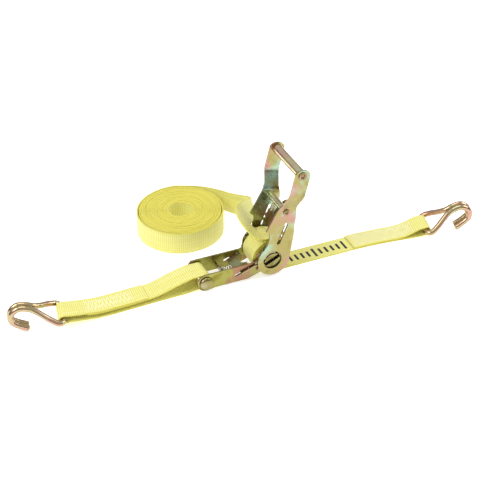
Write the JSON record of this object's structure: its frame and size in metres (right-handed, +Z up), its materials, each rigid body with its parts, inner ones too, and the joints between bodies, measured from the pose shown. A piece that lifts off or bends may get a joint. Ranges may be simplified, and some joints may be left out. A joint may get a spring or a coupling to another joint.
{
  "type": "ratchet tie down",
  "caption": "Ratchet strap tie-down with a raised over-centre handle, toothed wheels, sprung pawls, wire hooks and coiled webbing.",
  "frame": {"origin": "on the floor straight under the ratchet's hub axis, where the tightened strap leaves the roll", "axes": "+X along the tightened strap towards its far hook, +Y to the ratchet's rear side, +Z up"},
  "size_m": [0.5314, 0.1864, 0.1326],
  "materials": {
    "plated_steel": "yellow zinc plated sheet steel",
    "plated_works": "yellow zinc plated ratchet works",
    "plated_wire": "yellow zinc plated bright wire",
    "spring_wire": "bright spring wire",
    "webbing": "woven polyester webbing, ribbed across"
  },
  "bodies": {
    "frame": {"frame_plate_front": "plated_steel", "frame_plate_rear": "plated_steel", "tail_bolt": "plated_steel", "tail_sleeve": "plated_steel", "tail_nut": "plated_steel", "spring_seat": "plated_steel", "lock_spring": "spring_wire", "main_strap": "webbing", "tail_strap": "webbing", "strap_coil": "webbing"},
    "mandrel": {"ratchet_wheel_front": "plated_works", "ratchet_wheel_rear": "plated_works", "shaft_half_upper": "plated_works", "shaft_half_lower": "plated_works", "shaft_clip_front": "spring_wire", "shaft_clip_rear": "spring_wire", "strap_wrap": "webbing"},
    "handle": {"handle_plate_front": "plated_steel", "handle_plate_rear": "plated_steel", "grip_tube": "plated_steel", "grip_rivet": "plated_steel", "crossbar_tube": "plated_steel", "crossbar_rivet": "plated_steel", "drive_spring_front": "spring_wire", "drive_spring_rear": "spring_wire"},
    "lock_pawl": {"lock_pawl": "plated_works"},
    "drive_pawl": {"drive_pawl": "plated_works"},
    "anchor_strap": {"anchor_strap": "webbing"},
    "near_hook": {"hook_left": "plated_wire"},
    "far_hook": {"hook_right": "plated_wire"}
  },
  "joints": [
    {"name": "handle_swing", "type": "hinge", "parent": "frame", "child": "handle", "pos_m": [0, 0, 0.022], "axis": [0, 1, 0], "range_deg": [-100, 60], "deforming": ["tail_strap"]},
    {"name": "mandrel_spin", "type": "hinge", "parent": "frame", "child": "mandrel", "pos_m": [0, 0, 0.022], "axis": [0, 1, 0], "continuous": true},
    {"name": "lock_pawl_slide", "type": "slide", "parent": "frame", "child": "lock_pawl", "axis": [-0.9511, 0, -0.309], "range_m": [0, 0.007], "stiffness_N_per_m": 400, "springref_m": -0.005, "deforming": ["lock_spring"]},
    {"name": "drive_pawl_slide", "type": "slide", "parent": "handle", "child": "drive_pawl", "axis": [-0.3907, 0, -0.9205], "range_m": [-0.0035, 0.004], "stiffness_N_per_m": 400, "deforming": ["drive_spring_front", "drive_spring_rear"]},
    {"name": "anchor_strap_swing", "type": "hinge", "parent": "frame", "child": "anchor_strap", "pos_m": [-0.0745, 0, 0.0105], "axis": [0, 1, 0], "range_deg": [-45, 90]},
    {"name": "near_hook_swing", "type": "hinge", "parent": "anchor_strap", "child": "near_hook", "pos_m": [-0.231, -0.008, 0.014], "axis": [0.2079, 0.9781, 0], "range_deg": [-80, 80]},
    {"name": "far_hook_swing", "type": "hinge", "parent": "frame", "child": "far_hook", "pos_m": [0.191, -0.011, 0.008], "axis": [0.2419, 0.9703, 0], "range_deg": [-80, 80]}
  ]
}
